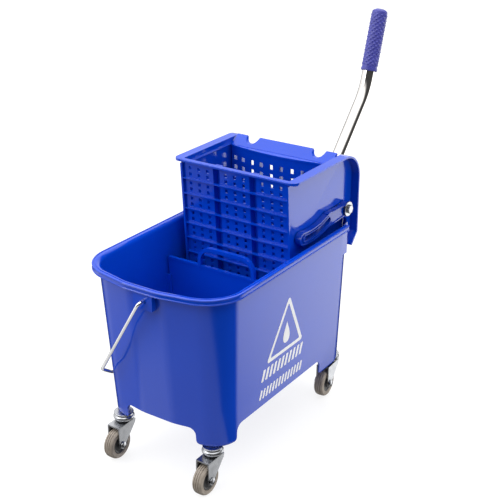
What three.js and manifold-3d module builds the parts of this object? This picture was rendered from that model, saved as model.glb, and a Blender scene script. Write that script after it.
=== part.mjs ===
// Mop bucket with a lift-out down-press wringer, on four swivel casters.
// Millimetres, +Z up, +X to the right of someone facing the front, origin on the floor under the middle.
import * as THREE from 'three';
import { mergeVertices } from 'three/addons/utils/BufferGeometryUtils.js';
import Module from 'manifold-3d';

const wasm = await Module();
wasm.setup();

// ---------------------------------------------------------------- driving dimensions
// Everything is laid out from the front casters, then moved back by MIDDLE_Y to centre the object.
const MIDDLE_Y = 274.4;
const GAP = 0.3; // running and fitting gap between neighbouring pieces

const bucket = {
  rimTop: 337, rimBottom: 327.5, rimHalfWidth: 134, rimFrontY: -25, rimEndY: 354,
  wall: 3, halfWidthTop: 124, halfWidthLow: 113, lowZ: 75,
  frontTopY: -15, frontLowY: 9, backY: 399, bowTop: 20, bowLow: 14, cornerTop: 56, cornerLow: 42,
  floorTop: 108, floorUnder: 104, flare: 6,
};
const pod = { bottom: 75, innerX: 67, frontY: 57, rearY: 303, filletR: 12, bossR: 10.5, roof: 102 };
const caster = {
  x: 88, frontY: 28, rearY: 383, trail: 20, wheelR: 25, wheelWidth: 17, rearTurn: 4 * Math.PI / 180,
};
const divider = {
  y: 190, thick: 4, bottom: 108.5, top: 282, halfLow: 103, halfTop: 115, hoopTop: 316, hoopBand: 6,
};
const bracket = { x0: -14, x1: 21, bottom: 302 }; // the front bracket; the rear one stands behind it
const bail = {
  pivotX: 6, pivotZ: 317, wireR: 2.5, legReach: 180.5, barReach: 226.3, angle: 33.8 * Math.PI / 180,
};
const wringer = {
  top: 447, panelOut: 103, panelIn: 100.2, flangeOut: 117, frontY: 211, faceTopY: 216, faceLowY: 231.5,
  floorZ: 195, backY: 414, rimZ: 442.5, flangeThick: 3, finPitch: 26.4, finTop: 415,
};
const hinge = { y: 358, z: 200, r: 4 }; // bottom hinge rod of the press plate
const shaft = { y: 380, z: 354, r: 7 }; // upper shaft, carried by the plate
const press = { halfWidth: 97.5, stroke: 27.5 * Math.PI / 180, bow: 12, ledgeZ: 436, faceY: 349 };
const pin = { y: 246, z: 346, r: 4 }; // fixed pins that the guide arms slide on
const lever = { x: 60, tubeR: 11, bendY: 527, bendZ: 513, gripR: 14.5, endY: 571, endZ: 647 };
const arm = { inX: 104.6, outX: 114.6, halfWidth: 10.8, slotHalf: 5 };

// ---------------------------------------------------------------- materials
const paint = (color, roughness, metalness = 0) =>
  new THREE.MeshStandardMaterial({ color, roughness, metalness });
const bluePlastic = paint(0x1f46b4, 0.3);
const darkPlastic = paint(0x16308c, 0.35);
const gripRubber = paint(0x3f45a8, 0.55);
const chrome = paint(0xd8dade, 0.15, 1);
const zinc = paint(0xb4b8bc, 0.35, 1);
const tyreRubber = paint(0x7d7771, 0.75);
const hubPlastic = paint(0x4a4a4c, 0.5);

// ---------------------------------------------------------------- solids
function solid(geometry) {
  geometry.deleteAttribute('normal');
  geometry.deleteAttribute('uv');
  const merged = mergeVertices(geometry, 1e-4);
  return new wasm.Manifold(new wasm.Mesh({
    numProp: 3,
    vertProperties: new Float32Array(merged.attributes.position.array),
    triVerts: new Uint32Array(merged.index.array),
  }));
}

const root = new THREE.Group();
root.position.y = -MIDDLE_Y;

function place(name, body, material, parent = root) {
  const { vertProperties, triVerts } = body.getMesh();
  const geometry = new THREE.BufferGeometry();
  geometry.setAttribute('position', new THREE.BufferAttribute(vertProperties, 3));
  geometry.setIndex(new THREE.BufferAttribute(triVerts, 1));
  geometry.computeVertexNormals();
  const mesh = new THREE.Mesh(geometry, material);
  mesh.name = name;
  parent.add(mesh);
}

const join = (...bodies) => bodies.reduce((all, one) => all.add(one));
const cut = (body, ...tools) => tools.reduce((left, tool) => left.subtract(tool), body);
const bothSides = (body) => body.add(mirrorX(body));
const mirrorX = (body) => body.mirror([1, 0, 0]);

function box(x0, x1, y0, y1, z0, z1) {
  const geometry = new THREE.BoxGeometry(x1 - x0, y1 - y0, z1 - z0);
  geometry.translate((x0 + x1) / 2, (y0 + y1) / 2, (z0 + z1) / 2);
  return solid(geometry);
}

// A prism of an outline in (y, z) along X, in (x, z) along Y, or in (x, y) along Z.
const turns = {
  x: new THREE.Matrix4().set(0, 0, 1, 0, 1, 0, 0, 0, 0, 1, 0, 0, 0, 0, 0, 1),
  y: new THREE.Matrix4().set(1, 0, 0, 0, 0, 0, -1, 0, 0, 1, 0, 0, 0, 0, 0, 1),
  z: new THREE.Matrix4(),
};
function prism(axis, outline, from, to) {
  const shape = new THREE.Shape(outline.map(([a, b]) => new THREE.Vector2(a, b)));
  const geometry = new THREE.ExtrudeGeometry(shape, { depth: to - from, bevelEnabled: false });
  geometry.translate(0, 0, axis === 'y' ? -to : from);
  geometry.applyMatrix4(turns[axis]);
  return solid(geometry);
}

// A rod, or a cone frustum with a second radius, along an axis; centre holds the other two coordinates.
function rod(axis, radius, from, to, [a, b], sides = 20, radiusTo = radius) {
  const geometry = new THREE.CylinderGeometry(radiusTo, radius, to - from, sides);
  geometry.rotateX(Math.PI / 2);
  geometry.translate(0, 0, (from + to) / 2);
  geometry.applyMatrix4(turns[axis]);
  if (axis === 'y') geometry.scale(1, -1, 1).index.array.reverse();
  geometry.translate(...{ x: [0, a, b], y: [a, 0, b], z: [a, b, 0] }[axis]);
  return solid(geometry);
}

// Outline with its corners rounded by arcs; radii are per corner.
function rounded(points, radii, steps = 5) {
  const outline = [];
  points.forEach((point, i) => {
    const here = new THREE.Vector2(...point);
    const before = new THREE.Vector2(...points.at(i - 1)).sub(here).normalize();
    const after = new THREE.Vector2(...points[(i + 1) % points.length]).sub(here).normalize();
    const half = Math.acos(THREE.MathUtils.clamp(before.dot(after), -1, 1)) / 2;
    const centre = before.clone().add(after).normalize().multiplyScalar(radii[i] / Math.sin(half)).add(here);
    const start = before.multiplyScalar(radii[i] / Math.tan(half)).add(here).sub(centre);
    const end = after.multiplyScalar(radii[i] / Math.tan(half)).add(here).sub(centre);
    const sweep = Math.atan2(start.cross(end), start.dot(end));
    for (let k = 0; k <= steps; k += 1) {
      const spoke = start.clone().rotateAround(new THREE.Vector2(), sweep * k / steps).add(centre);
      outline.push([spoke.x, spoke.y]);
    }
  });
  return outline;
}
const slab = (a0, a1, b0, b1, r, steps) =>
  rounded([[a0, b0], [a1, b0], [a1, b1], [a0, b1]], [r, r, r, r], steps);

// A solid through stacked outlines, each { z, outline } with the same number of points.
function loft(sections) {
  const count = sections[0].outline.length;
  const positions = sections.flatMap(({ z, outline }) => outline.flatMap(([x, y]) => [x, y, z]));
  const index = [];
  for (let s = 0; s < sections.length - 1; s += 1) {
    for (let i = 0; i < count; i += 1) {
      const a = s * count + i;
      const b = s * count + (i + 1) % count;
      index.push(a, b, b + count, a, b + count, a + count);
    }
  }
  const flat = sections.map(({ outline }) => outline.map(([x, y]) => new THREE.Vector2(x, y)));
  const last = (sections.length - 1) * count;
  for (const [a, b, c] of THREE.ShapeUtils.triangulateShape(flat[0], [])) index.push(a, c, b);
  for (const [a, b, c] of THREE.ShapeUtils.triangulateShape(flat.at(-1), [])) {
    index.push(last + a, last + b, last + c);
  }
  const geometry = new THREE.BufferGeometry();
  geometry.setAttribute('position', new THREE.Float32BufferAttribute(positions, 3));
  geometry.setIndex(index);
  return solid(geometry);
}

// A round bar along a route of straight runs with rounded bends.
class Route extends THREE.Curve {
  constructor(points) {
    super();
    this.points = points;
  }

  getPoint(t, target = new THREE.Vector3()) {
    const last = this.points.length - 1;
    const i = Math.min(Math.floor(t * last), last - 1);
    return target.lerpVectors(this.points[i], this.points[i + 1], t * last - i);
  }

  getUtoTmapping(u) {
    return u;
  }
}
function bar(corners, radius, bend, sides = 12, steps = 5) {
  const points = [corners[0]];
  for (let i = 1; i < corners.length - 1; i += 1) {
    const before = corners[i - 1].clone().sub(corners[i]).setLength(bend).add(corners[i]);
    const after = corners[i + 1].clone().sub(corners[i]).setLength(bend).add(corners[i]);
    const curve = new THREE.QuadraticBezierCurve3(before, corners[i], after);
    points.push(...curve.getPoints(steps));
  }
  points.push(corners.at(-1));
  const section = new THREE.Shape();
  section.absarc(0, 0, radius, 0, 2 * Math.PI, false);
  return solid(new THREE.ExtrudeGeometry(section, {
    steps: points.length - 1, curveSegments: sides, extrudePath: new Route(points),
  }));
}
const at = (x, y, z) => new THREE.Vector3(x, y, z);

// ---------------------------------------------------------------- bucket
// Plan outline of the bucket: bowed front, straight sides and back, grown outwards by `grow`.
function plan(halfWidth, frontY, backY, bow, corner, grow = 0) {
  const w = halfWidth + grow;
  const front = frontY - grow;
  const cornerY = front + bow;
  const back = backY + grow;
  return rounded(
    [[-30, front], [30, front], [w, cornerY], [w, back], [-w, back], [-w, cornerY]],
    [100, 100, corner + grow, 50 + grow, 50 + grow, corner + grow],
  );
}
const draft = (z) => (z - bucket.lowZ) / (bucket.rimTop - bucket.lowZ);
const mix = THREE.MathUtils.lerp;
function wallSection(z, grow = 0) {
  const halfWidth = mix(bucket.halfWidthLow, bucket.halfWidthTop, draft(z));
  const frontY = mix(bucket.frontLowY, bucket.frontTopY, draft(z));
  const bow = mix(bucket.bowLow, bucket.bowTop, draft(z));
  const corner = mix(bucket.cornerLow, bucket.cornerTop, draft(z));
  return { z, outline: plan(halfWidth, frontY, bucket.backY, bow, corner, grow) };
}
function rimSection(z, inset) {
  const { rimHalfWidth, rimFrontY, backY, bowTop, cornerTop } = bucket;
  return { z, outline: plan(rimHalfWidth, rimFrontY, backY + 2, bowTop, cornerTop + 10, -inset) };
}

function footTunnels() {
  const low = pod.bottom - 60;
  const across = slab(pod.frontY, pod.rearY, low, bucket.floorUnder, pod.filletR);
  const along = slab(-pod.innerX, pod.innerX, low, bucket.floorUnder, pod.filletR);
  return [prism('x', across, -200, 200), prism('y', along, -100, 500)];
}

// What hollows the feet from below: it leaves the wall, and a ribbed boss round each caster's stem.
function footHollows(outside) {
  const hollow = loft([wallSection(pod.bottom - 20, -bucket.wall), wallSection(pod.roof, -bucket.wall)]);
  const bosses = [];
  const sockets = [];
  for (const y of [caster.frontY, caster.rearY]) {
    bosses.push(bothSides(rod('z', pod.bossR, pod.bottom, pod.roof + 1, [caster.x, y], 24)));
    bosses.push(bothSides(box(caster.x, caster.x + 22, y - 1.2, y + 1.2, pod.bottom + 4, pod.roof + 1)));
    sockets.push(bothSides(rod('z', 5.4, pod.bottom - 20, 101, [caster.x, y], 16)));
  }
  return join(cut(hollow, join(...bosses).intersect(outside)), ...sockets);
}

function dividerGuides() {
  const guide = [[99, 107], [125, 107], [125, 250], [109, 250]];
  const wide = divider.thick / 2 + 0.6;
  const front = prism('y', guide, divider.y - wide - 2.6, divider.y - wide);
  const rear = prism('y', guide, divider.y + wide, divider.y + wide + 2.6);
  return bothSides(front.add(rear));
}

function bucketShell() {
  const outside = loft([wallSection(pod.bottom), wallSection(bucket.rimTop)]);
  const { rimTop, flare, wall } = bucket;
  const inside = loft([
    wallSection(bucket.floorTop, -wall), wallSection(rimTop - flare, -wall),
    wallSection(rimTop + flare, 3 * wall),
  ]);
  const rim = loft([
    rimSection(bucket.rimBottom, 1), rimSection(bucket.rimBottom + 1, 0),
    rimSection(bucket.rimTop - 2, 0), rimSection(bucket.rimTop, 2),
  ]).intersect(box(-200, 200, -100, bucket.rimEndY, 300, 350));
  const ear = bothSides(box(115, 122.5, 335, 372, 280, bucket.rimTop - 2));
  const frontBracket = box(bracket.x0, bracket.x1, -22.5, 0, bracket.bottom, bucket.rimBottom + 1);
  const backBracket = box(bracket.x0, bracket.x1, 395, 417, bracket.bottom, bucket.rimBottom + 1);
  const rests = bothSides(box(97, 125, 240, 330, 185, 192));
  const inner = join(dividerGuides(), rests).intersect(loft([wallSection(100, -1), wallSection(340, -1)]));
  const slot = (x) => box(x - 1.9 - 1.5, x + 1.9 + 1.3, 370, 420, 270, 350);
  const middle = (wringer.panelIn + wringer.panelOut) / 2;
  const shell = cut(
    join(outside, rim, ear, frontBracket, backBracket), inside, ...footTunnels(), footHollows(outside),
  );
  return cut(
    join(shell, inner), slot(middle), slot(-middle),
    rod('y', bail.wireR + GAP + 0.1, -60, -14, [bail.pivotX, bail.pivotZ], 16),
    rod('y', bail.wireR + GAP + 0.1, 403, 440, [bail.pivotX, bail.pivotZ], 16),
  );
}

function dividerPlate() {
  const plate = prism('y', [
    [-divider.halfLow, divider.bottom], [divider.halfLow, divider.bottom],
    [divider.halfTop, divider.top], [-divider.halfTop, divider.top],
  ], divider.y - divider.thick / 2, divider.y + divider.thick / 2);
  const { hoopTop, hoopBand } = divider;
  const hoop = prism('y', slab(-53, 57, 250, hoopTop, 25), divider.y - 3.5, divider.y + 3.5);
  const fingerGap = prism('y', slab(-53 + hoopBand, 57 - hoopBand, 286, hoopTop - hoopBand, 12), 150, 250);
  const above = box(-60, 60, 150, 250, 268, 330);
  return plate.add(hoop.intersect(above)).subtract(fingerGap);
}

// Wire handle: a leg down from each bracket, and a long bar that rests beside the left wall.
function bailHandle() {
  const { pivotX, pivotZ, legReach, barReach, angle } = bail;
  const reach = (s, y) => at(pivotX - s * Math.sin(angle), y, pivotZ - s * Math.cos(angle));
  const corners = [
    at(pivotX, -15, pivotZ), at(pivotX, -35, pivotZ), reach(legReach, -10), reach(barReach, 42),
    reach(barReach, 376), reach(legReach, 425), at(pivotX, 425, pivotZ), at(pivotX, 404, pivotZ),
  ];
  return bar(corners, bail.wireR, 9, 8, 4);
}

// ---------------------------------------------------------------- casters
function lathe(profile, axis, sides) {
  const geometry = new THREE.LatheGeometry(profile.map(([r, h]) => new THREE.Vector2(r, h)), sides);
  if (axis === 'z') geometry.rotateX(Math.PI / 2);
  if (axis === 'x') geometry.rotateZ(-Math.PI / 2);
  return solid(geometry);
}

function casterPieces(name, x, y, turn) {
  const group = new THREE.Group();
  group.position.set(x, y, 0);
  group.rotation.z = turn;
  root.add(group);
  const wheel = [-caster.trail, caster.wheelR];
  const half = caster.wheelWidth / 2;

  const stem = join(rod('z', 5, 52, 100, [0, 0], 16), rod('z', 8.5, 52, 56.2, [0, 0], 16));
  place(`${name}_stem`, stem, zinc, group);

  const cup = cut(
    join(rod('z', 14, 61, 66, [0, 0], 24, 17), rod('z', 17, 66, 74.7, [0, 0], 24)),
    rod('z', 5.4, 50, 80, [0, 0], 16),
  );
  place(`${name}_swivel_cup`, cup, zinc, group);

  const cheekOutline = [
    [14, 59], [-27, 59], [-28, 25], [-25, 18.5], [-20, 16.5], [-15, 18.5], [-11, 25], [12, 52],
  ];
  const cheeks = bothSides(prism('x', cheekOutline, 10, 12));
  const top = join(box(-12, 12, -27, 14, 56.5, 59), rod('z', 9, 58, 60.7, [0, 0], 20));
  const fork = cut(join(cheeks, top), rod('z', 5.4, 50, 70, [0, 0], 16), rod('x', 4.3, -20, 20, wheel, 16));
  place(`${name}_fork`, fork, zinc, group);

  const axle = join(
    rod('x', 4, -15, 14, wheel, 16), rod('x', 6.5, 12.3, 15, wheel, 6), rod('x', 6.5, -16, -12.3, wheel, 6),
  );
  place(`${name}_axle`, axle, zinc, group);

  const R = caster.wheelR;
  const tread = [[16, -half], [R - 3, -half], [R - 0.8, -half + 1.5], [R, -half + 4]];
  const mirrored = tread.map(([r, h]) => [r, -h]).reverse();
  const tyre = lathe([...tread, ...mirrored, tread[0]], 'x', 20).translate([0, ...wheel]);
  place(`${name}_tyre`, tyre, tyreRubber, group);

  const hubSide = [[4.3, -9.7], [8, -9.7], [8.5, -7], [16 - GAP, -7]];
  const hubBack = hubSide.map(([r, h]) => [r, -h]).reverse();
  const hub = lathe([...hubSide, ...hubBack, hubSide[0]], 'x', 20).translate([0, ...wheel]);
  place(`${name}_hub`, hub, hubPlastic, group);
}

// ---------------------------------------------------------------- wringer frame
const faceY = (z) => mix(wringer.faceLowY, wringer.faceTopY, (z - wringer.floorZ) / (436 - wringer.floorZ));

// A band of the sloping front between two heights, `depth` thick and starting `ahead` of the face.
function frontBand(x0, x1, z0, z1, ahead, depth) {
  const near = (z) => faceY(z) - ahead;
  return prism('x', [[near(z0), z0], [near(z0) + depth, z0], [near(z1) + depth, z1], [near(z1), z1]], x0, x1);
}

function frontGrille() {
  const low = wringer.floorZ - 2.6;
  const sheet = frontBand(-101, 101, low, 445, 0, 2.5);
  const holes = [];
  for (const bay of [-63, 0, 63]) {
    for (let column = -1; column <= 1; column += 1) {
      for (let z = 425; z > wringer.floorZ + 6; z -= wringer.finPitch) {
        const x = bay + column * 17;
        holes.push(box(x - 2.5, x + 2.5, 200, 245, z - 21, z - 5));
      }
    }
  }
  const grille = sheet.subtract(wasm.Manifold.union(holes));
  const fins = [];
  for (let z = wringer.finTop; z > wringer.floorZ; z -= wringer.finPitch) {
    fins.push(frontBand(-103, 103, z - 0.8, z + 0.8, 4.5, 6));
  }
  const posts = bothSides(frontBand(99, 103, low, 445, 4.5, 7));
  return join(grille, ...fins, posts);
}

function sideOutline() {
  const low = wringer.floorZ - 2.6;
  return rounded([
    [faceY(low), low], [372, low], [372, 276], [385, 276], [wringer.backY - 2, 300], [wringer.backY - 2, 445],
    [faceY(445), 445],
  ], [1, 12, 1, 6, 8, 45, 1], 6);
}

// A band along the arc that the upper shaft swings through, moved by (shiftY, shiftZ) and run on a little.
function arcBand(x0, x1, half, [shiftY, shiftZ] = [0, 0], extra = 0, direction = 1) {
  const reachY = shaft.y - hinge.y;
  const reachZ = shaft.z - hinge.z;
  const radius = Math.hypot(reachY, reachZ);
  const start = Math.atan2(reachZ, reachY);
  const sweep = press.stroke + 2 * extra;
  const arc = (r, t) => {
    const a = start - extra + sweep * t;
    return [shiftY + direction * (r * Math.cos(a)), shiftZ + direction * (r * Math.sin(a))];
  };
  const steps = 8;
  const outer = [];
  const inner = [];
  for (let i = 0; i <= steps; i += 1) {
    outer.push(arc(radius + half, i / steps));
    inner.unshift(arc(radius - half, i / steps));
  }
  const ends = [0, 1].map((t) => rod('x', half, x0, x1, arc(radius, t), 20));
  return join(prism('x', [...outer, ...inner], x0, x1), ...ends);
}
const shaftSlot = (x0, x1) => arcBand(x0, x1, shaft.r + 1.2, [hinge.y, hinge.z]);

// Flange that stands out from the panel along its top, down its back and round the lower corner.
function flange() {
  const { frontY, backY, top, rimZ, flangeThick } = wringer;
  const outer = rounded([
    [frontY, rimZ], [frontY, top], [backY, top], [backY, 303], [394.5, 282], [394, 286],
    [backY - flangeThick, 304.5], [backY - flangeThick, top - flangeThick], [frontY + 6, top - flangeThick],
    [frontY + 6, rimZ],
  ], [0.5, 1, 46, 6, 1, 1, 4, 43, 0.5, 0.5], 6);
  return prism('x', outer, wringer.panelIn, wringer.flangeOut);
}

function wringerFrame() {
  const panel = prism('x', sideOutline(), wringer.panelIn, wringer.panelOut);
  const side = cut(
    join(panel, flange()),
    shaftSlot(90, 110), rod('x', hinge.r + GAP, 90, 110, [hinge.y, hinge.z], 16),
    rod('x', pin.r + GAP, 90, 110, [pin.y, pin.z], 16),
  );
  const { flangeOut, frontY, faceTopY, rimZ, top } = wringer;
  const lip = box(-flangeOut, flangeOut, frontY, faceTopY + 4, rimZ, top);
  let floor = box(-101, 101, faceY(wringer.floorZ), 346, wringer.floorZ - 2.6, wringer.floorZ);
  const drains = [];
  for (let x = -84; x <= 84; x += 21) {
    for (const y of [245, 283, 321]) drains.push(box(x - 3, x + 3, y, y + 18, 180, 210));
  }
  floor = floor.subtract(wasm.Manifold.union(drains));
  return join(bothSides(side), lip, floor, frontGrille());
}

function hingeRod() {
  return join(
    rod('x', hinge.r, -107, 107, [hinge.y, hinge.z], 16),
    bothSides(rod('x', 7, 103.4, 107, [hinge.y, hinge.z], 16)),
  );
}

function guidePin() {
  return join(
    rod('x', pin.r, 98, 113, [pin.y, pin.z], 16),
    rod('x', 6.5, 97, 99.8, [pin.y, pin.z], 6),
  );
}

// ---------------------------------------------------------------- press plate and lever
// Perforated sheet, bowed forward in the middle and leaning back a little towards its foot.
function pressSheet() {
  const low = hinge.z + 9;
  const lean = 6 / (press.ledgeZ - low);
  const bow = (x) => press.faceY - press.bow * (1 - (x / press.halfWidth) ** 2);
  const front = [];
  const back = [];
  for (let i = 0; i <= 12; i += 1) {
    const x = mix(-press.halfWidth, press.halfWidth, i / 12);
    front.push([x, bow(x)]);
    back.unshift([x, bow(x) + 3]);
  }
  const geometryLean = [1, 0, 0, 0, 1, 0, 0, -lean, 1, 0, lean * press.ledgeZ, 0];
  const sheet = prism('z', [...front, ...back], low, press.ledgeZ).transform([
    ...geometryLean.slice(0, 3), 0, ...geometryLean.slice(3, 6), 0, ...geometryLean.slice(6, 9), 0,
    ...geometryLean.slice(9), 1,
  ]);
  const ledge = prism('z', [...front, [press.halfWidth, 352], [-press.halfWidth, 352]], press.ledgeZ - 3,
    press.ledgeZ);
  const holes = [];
  for (let x = -70; x <= 70; x += 20) {
    for (let z = 414; z > low + 20; z -= 33) holes.push(box(x - 3.5, x + 3.5, 320, 362, z - 20, z + 4.5));
  }
  return sheet.subtract(wasm.Manifold.union(holes)).add(ledge);
}

function pressPlate() {
  const width = press.halfWidth;
  const strip = prism('x', [[349, 433], [352, 433], [369, 444.5], [367, 447], [349, 436]], -width, width);
  const notches = [-65, 65].map((x) => rod('y', 13, 355, 380, [x, 450], 16));
  const barrel = rod('x', 8, -width, width, [hinge.y, hinge.z], 20);
  const foot = prism('x', [[348, 214], [353, 214], [364, 204], [356, 200], [350, 204]], -width, width);
  const ribPlaces = [-95, -46, 0, 40, 94];
  const ribOutline = [[349, 434], [362, 434], [391, 366], [391, 344], [366, 204], [353, 208]];
  const ribs = ribPlaces.map((x) => prism('x', ribOutline, x - 1.5, x + 1.5));
  const bosses = ribPlaces.map((x) => rod('x', 12, x - 2.5, x + 2.5, [shaft.y, shaft.z], 20));
  return cut(
    join(pressSheet(), strip.subtract(notches[0]).subtract(notches[1]), barrel, foot, ...ribs, ...bosses),
    rod('x', hinge.r + GAP, -120, 120, [hinge.y, hinge.z], 16),
    rod('x', shaft.r + GAP, -120, 120, [shaft.y, shaft.z], 20),
  );
}

function pivotShaft() {
  const centre = [shaft.y, shaft.z];
  const end = arm.outX;
  const body = rod('x', shaft.r, -end, end, centre, 20);
  return cut(body, bothSides(rod('x', 4 + GAP, 104, 120, centre, 12)));
}

const socketEnd = 62;
function leverAlong(distance) {
  const run = new THREE.Vector2(lever.bendY - shaft.y, lever.bendZ - shaft.z).normalize();
  return at(lever.x, shaft.y + run.x * distance, shaft.z + run.y * distance);
}
function leverSocket() {
  const ring = rod('x', 13, lever.x - 12, lever.x + 12, [shaft.y, shaft.z], 24);
  const sleeve = bar([leverAlong(6), leverAlong(socketEnd)], lever.tubeR + GAP + 2.4, 1, 20);
  return cut(
    join(ring, sleeve), bar([leverAlong(18), leverAlong(socketEnd + 9)], lever.tubeR + GAP, 1, 20),
    rod('x', shaft.r + GAP, 0, 120, [shaft.y, shaft.z], 20),
  );
}
function leverTube() {
  const bend = at(lever.x, lever.bendY, lever.bendZ);
  const up = at(lever.x, lever.endY, lever.endZ).sub(bend).normalize();
  return bar([leverAlong(18.4), bend, bend.clone().addScaledVector(up, 130)], lever.tubeR, 22, 16, 6);
}
function leverGrip() {
  const bend = at(lever.x, lever.bendY, lever.bendZ);
  const up = at(lever.x, lever.endY, lever.endZ).sub(bend).normalize();
  const start = bend.clone().addScaledVector(up, 35);
  const end = at(lever.x, lever.endY, lever.endZ);
  const bore = bar([start.clone().addScaledVector(up, -9), bend.clone().addScaledVector(up, 130.5)],
    lever.tubeR + GAP, 1, 16);
  return cut(bar([start, end], lever.gripR, 1, 20), bore);
}

// Seen from the moving arm, the fixed pin runs along the shaft's arc turned half round.
const pinPath = [pin.y + shaft.y - hinge.y, pin.z + shaft.z - hinge.z];
function guideArm() {
  const { inX, outX, halfWidth, slotHalf } = arm;
  const centre = [shaft.y, shaft.z];
  const neck = prism('x', [[316, 341], [386, 345], [386, 363], [316, 364.5]], inX, outX);
  return cut(
    join(arcBand(inX, outX, halfWidth, pinPath, 0.03, -1), neck, rod('x', 13, inX, outX, centre, 24)),
    arcBand(inX - 5, outX + 5, slotHalf, pinPath, 0, -1),
    rod('x', shaft.r + GAP, inX - 5, outX + 5, centre, 20),
  );
}

const endWasher = () => cut(
  rod('x', 12.5, arm.outX + GAP + 0.2, arm.outX + 2.4, [shaft.y, shaft.z], 24),
  rod('x', 4 + GAP, 100, 130, [shaft.y, shaft.z], 12),
);
const endBolt = () => join(
  rod('x', 4, 105, 119, [shaft.y, shaft.z], 12), rod('x', 7.5, arm.outX + 2.7, 121, [shaft.y, shaft.z], 6),
);

// ---------------------------------------------------------------- the whole object
place('bucket_shell', bucketShell(), bluePlastic);
place('divider', dividerPlate(), bluePlastic);
place('bail_handle', bailHandle(), chrome);
for (const [end, y, turn] of [['front', caster.frontY, 0], ['rear', caster.rearY, caster.rearTurn]]) {
  for (const [side, x] of [['left', -caster.x], ['right', caster.x]]) {
    casterPieces(`${end}_${side}`, x, y, turn);
  }
}
place('wringer_frame', wringerFrame(), bluePlastic);
place('hinge_rod', hingeRod(), zinc);
place('press_plate', pressPlate(), bluePlastic);
place('pivot_shaft', pivotShaft(), zinc);
place('lever_socket', leverSocket(), darkPlastic);
place('lever_tube', leverTube(), chrome);
place('lever_grip', leverGrip(), gripRubber);
for (const [side, flip] of [['right', (body) => body], ['left', mirrorX]]) {
  place(`${side}_guide_pin`, flip(guidePin()), zinc);
  place(`${side}_guide_arm`, flip(guideArm()), darkPlastic);
  place(`${side}_end_washer`, flip(endWasher()), zinc);
  place(`${side}_end_bolt`, flip(endBolt()), zinc);
}

export default root;
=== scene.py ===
"""Looks of a mop bucket with a lift-out lever wringer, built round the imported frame."""
import math

import bmesh
import bpy
from mathutils import Matrix, Vector


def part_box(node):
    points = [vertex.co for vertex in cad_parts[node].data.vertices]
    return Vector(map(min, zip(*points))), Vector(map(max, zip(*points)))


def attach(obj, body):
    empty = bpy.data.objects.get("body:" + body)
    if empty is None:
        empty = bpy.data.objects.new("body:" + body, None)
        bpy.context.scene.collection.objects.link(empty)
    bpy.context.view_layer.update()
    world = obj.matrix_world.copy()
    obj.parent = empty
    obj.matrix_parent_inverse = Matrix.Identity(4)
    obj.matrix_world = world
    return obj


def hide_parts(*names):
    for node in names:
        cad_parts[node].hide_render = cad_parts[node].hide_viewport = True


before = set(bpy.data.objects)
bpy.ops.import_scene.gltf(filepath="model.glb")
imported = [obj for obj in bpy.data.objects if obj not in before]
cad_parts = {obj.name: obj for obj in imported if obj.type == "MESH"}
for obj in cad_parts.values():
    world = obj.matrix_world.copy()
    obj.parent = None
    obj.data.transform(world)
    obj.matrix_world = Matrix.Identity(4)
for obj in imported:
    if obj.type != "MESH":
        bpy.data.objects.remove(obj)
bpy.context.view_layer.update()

# Shapes are drawn in millimetres from the floor point midway between the front casters.
MM = 0.001
BUCKET_LOW, BUCKET_HIGH = (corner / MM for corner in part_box("bucket_shell"))
RIM_FRONT = -25.0
BACK = BUCKET_LOW.y - RIM_FRONT
TO_ROW = Matrix.Scale(MM, 4) @ Matrix.Translation((0, BACK, 0))


def cad(node):
    """Lowest and highest corner of a CAD node, in drawing millimetres."""
    shift = Vector((0, BACK, 0))
    low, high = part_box(node)
    return low / MM - shift, high / MM - shift


# ---------------------------------------------------------------- camera
AZIMUTH, ELEVATION = math.radians(34), math.radians(23.3)
camera_data = bpy.data.cameras.new("camera")
camera_data.sensor_width = 36
camera_data.lens = 77.83
camera = bpy.data.objects.new("camera", camera_data)
camera.location = TO_ROW @ Vector((916.25, -1098, 1000))
camera.rotation_euler = (math.pi / 2 - ELEVATION, 0, AZIMUTH)
bpy.context.scene.collection.objects.link(camera)
bpy.context.scene.camera = camera


# ---------------------------------------------------------------- mesh helpers
def new_object(name, verts, faces):
    mesh = bpy.data.meshes.new(name)
    mesh.from_pydata([tuple(v) for v in verts], [], faces)
    bm = bmesh.new()
    bm.from_mesh(mesh)
    bmesh.ops.recalc_face_normals(bm, faces=bm.faces)
    bm.to_mesh(mesh)
    bm.free()
    obj = bpy.data.objects.new(name, mesh)
    bpy.context.scene.collection.objects.link(obj)
    return obj


def bake_modifiers(obj):
    depsgraph = bpy.context.evaluated_depsgraph_get()
    mesh = bpy.data.meshes.new_from_object(obj.evaluated_get(depsgraph))
    obj.modifiers.clear()
    old = obj.data
    obj.data = mesh
    bpy.data.meshes.remove(old)


def combine(operation, first, tools):
    for tool in tools:
        modifier = first.modifiers.new("cut", "BOOLEAN")
        modifier.operation = operation
        modifier.solver = "MANIFOLD"
        modifier.object = tool
        bake_modifiers(first)
        bpy.data.objects.remove(tool)
    return first


def join(first, *others):
    return combine("UNION", first, others)


def cut(first, *tools):
    return combine("DIFFERENCE", first, tools)


def keep(first, tool):
    return combine("INTERSECT", first, [tool])


def gather(objects):
    """One object from solids that don't touch, so that they cut or join in one step."""
    bm = bmesh.new()
    for obj in objects:
        bm.from_mesh(obj.data)
        bpy.data.objects.remove(obj)
    mesh = bpy.data.meshes.new("gathered")
    bm.to_mesh(mesh)
    bm.free()
    whole = bpy.data.objects.new("gathered", mesh)
    bpy.context.scene.collection.objects.link(whole)
    return whole


def copy_of(obj, matrix):
    twin = obj.copy()
    twin.data = obj.data.copy()
    twin.data.transform(matrix)
    if matrix.determinant() < 0:
        twin.data.flip_normals()
    bpy.context.scene.collection.objects.link(twin)
    return twin


MIRROR = Matrix.Scale(-1, 4, (1, 0, 0))


def both(obj):
    return [obj, copy_of(obj, MIRROR)]


def axis_point(axis, a, b, along):
    """A point from two coordinates of an outline and the place along the axis it is drawn across."""
    return {"x": (along, a, b), "y": (a, along, b), "z": (a, b, along)}[axis]


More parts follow.
